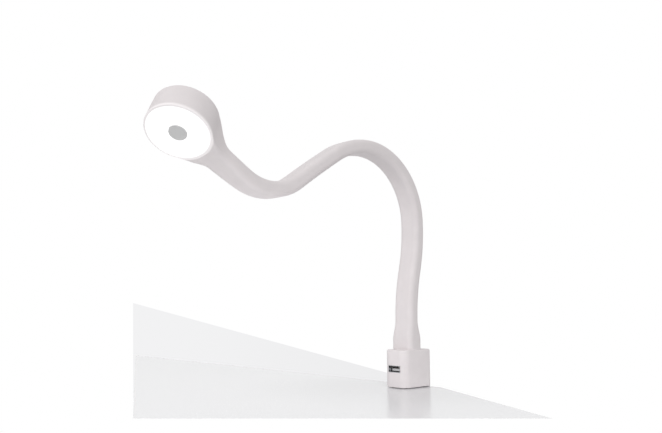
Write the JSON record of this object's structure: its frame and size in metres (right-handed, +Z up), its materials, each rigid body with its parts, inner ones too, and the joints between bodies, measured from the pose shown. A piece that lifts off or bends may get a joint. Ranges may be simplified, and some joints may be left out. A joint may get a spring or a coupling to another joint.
{
  "type": "clip-on reading lamp",
  "caption": "Clip-on reading lamp: screw clamp base with a USB socket, flexible strap arm and round lit head with a centre push switch.",
  "frame": {"origin": "on the table top, at the middle of the base, where the rubber pad under the housing sits", "axes": "+Z up, out of the table top; X across the strap arm; -Y towards the reader, the way the lit head leans"},
  "size_m": [0.0509, 0.2749, 0.2955],
  "materials": {
    "white_housing": "matte",
    "white_silicone": "matte",
    "dark_rubber": "matte",
    "steel": "satin",
    "white_steel": "satin",
    "aluminium": "satin",
    "black_plastic": "matte",
    "green_board": "satin",
    "white_board": "satin",
    "lead_jacket": "matte",
    "led_phosphor": "gloss",
    "diffuser": "matte",
    "grey_button": "matte",
    "parts_black": "satin"
  },
  "bodies": {
    "base": {"base_housing": "white_housing", "bottom_plate": "white_housing", "seat_pad": "white_silicone", "bottom_screws": "steel", "power_board": "green_board", "power_parts": "parts_black", "usb_shell": "steel", "usb_tongue": "black_plastic", "power_inlet": "black_plastic", "inlet_pin": "steel", "arm_anchor": "aluminium", "anchor_screws": "steel", "clamp_bracket": "white_steel", "bracket_screws": "steel", "clamp_nut": "steel", "arm_foot": "white_silicone", "foot_rods": "steel", "foot_lead": "lead_jacket"},
    "pressure_pad": {"clamp_pad": "white_steel", "pad_rubber": "dark_rubber"},
    "clamp_screw_and_knob": {"clamp_screw": "steel", "clamp_knob": "white_housing", "pad_clip": "steel"},
    "arm_stretch_1": {"arm_sleeve_1": "white_silicone", "arm_rods_1": "steel", "arm_lead_1": "lead_jacket"},
    "arm_stretch_2": {"arm_sleeve_2": "white_silicone", "arm_rods_2": "steel", "arm_lead_2": "lead_jacket"},
    "arm_stretch_3": {"arm_sleeve_3": "white_silicone", "arm_rods_3": "steel", "arm_lead_3": "lead_jacket"},
    "arm_stretch_4": {"arm_sleeve_4": "white_silicone", "arm_rods_4": "steel", "arm_lead_4": "lead_jacket"},
    "arm_stretch_5": {"arm_sleeve_5": "white_silicone", "arm_rods_5": "steel", "arm_lead_5": "lead_jacket"},
    "arm_stretch_6": {"arm_sleeve_6": "white_silicone", "arm_rods_6": "steel", "arm_lead_6": "lead_jacket"},
    "arm_stretch_7": {"arm_sleeve_7": "white_silicone", "arm_rods_7": "steel", "arm_lead_7": "lead_jacket"},
    "arm_stretch_8": {"arm_sleeve_8": "white_silicone", "arm_rods_8": "steel", "arm_lead_8": "lead_jacket", "neck_ferrule": "aluminium", "swivel_ring": "steel"},
    "head": {"swivel_collar": "steel", "head_shell": "white_housing", "heat_sink": "aluminium", "led_board": "white_board", "leds": "led_phosphor", "head_screws": "steel", "switch_body": "black_plastic", "button_guide": "white_board", "diffuser": "diffuser"},
    "push_button": {"switch_button": "grey_button", "switch_plunger": "black_plastic"}
  },
  "joints": [
    {"name": "clamp_travel", "type": "slide", "parent": "base", "child": "pressure_pad", "axis": [0, 0, 1], "range_m": [-0.008, 0.016]},
    {"name": "clamp_spin", "type": "hinge", "parent": "pressure_pad", "child": "clamp_screw_and_knob", "pos_m": [0, 0, -0.05], "axis": [0, 0, 1], "range_deg": [-1441, 2881]},
    {"name": "arm_sway_1", "type": "hinge", "parent": "base", "child": "arm_stretch_1", "pos_m": [0, -0.002, 0.058], "axis": [0, 1, 0], "range_deg": [-20, 20]},
    {"name": "arm_fold_1", "type": "hinge", "parent": "arm_stretch_1", "child": "arm_stretch_2", "pos_m": [0, 0.00335, 0.10156], "axis": [1, 0, 0], "range_deg": [-28, 28]},
    {"name": "arm_sway_2", "type": "hinge", "parent": "arm_stretch_2", "child": "arm_stretch_3", "pos_m": [0, 0.00765, 0.14619], "axis": [0, -0.9986, -0.0523], "range_deg": [-20, 20]},
    {"name": "arm_fold_2", "type": "hinge", "parent": "arm_stretch_3", "child": "arm_stretch_4", "pos_m": [0, -0.00985, 0.18549], "axis": [-1, 0, 0], "range_deg": [-28, 28]},
    {"name": "arm_sway_3", "type": "hinge", "parent": "arm_stretch_4", "child": "arm_stretch_5", "pos_m": [0, -0.05116, 0.20303], "axis": [0, 0.0175, 0.9998], "range_deg": [-20, 20]},
    {"name": "arm_fold_3", "type": "hinge", "parent": "arm_stretch_5", "child": "arm_stretch_6", "pos_m": [0, -0.09189, 0.19135], "axis": [1, 0, 0], "range_deg": [-28, 28]},
    {"name": "arm_sway_4", "type": "hinge", "parent": "arm_stretch_6", "child": "arm_stretch_7", "pos_m": [0, -0.13309, 0.16303], "axis": [0, 0.5878, -0.809], "range_deg": [-20, 20]},
    {"name": "arm_fold_4", "type": "hinge", "parent": "arm_stretch_7", "child": "arm_stretch_8", "pos_m": [0, -0.18042, 0.15972], "axis": [-1, 0, 0], "range_deg": [-28, 28]},
    {"name": "head_turn", "type": "hinge", "parent": "arm_stretch_8", "child": "head", "pos_m": [0, -0.20131, 0.17154], "axis": [0, -0.8572, 0.515], "range_deg": [-40, 40]},
    {"name": "button_press", "type": "slide", "parent": "head", "child": "push_button", "axis": [-0.3256, 0.487, 0.8105], "range_m": [0, 0.0008], "stiffness_N_per_m": 800}
  ],
  "couplings": [
    {"joint": "clamp_spin", "follows": "clamp_travel", "rad_per_m": 3141.6}
  ]
}
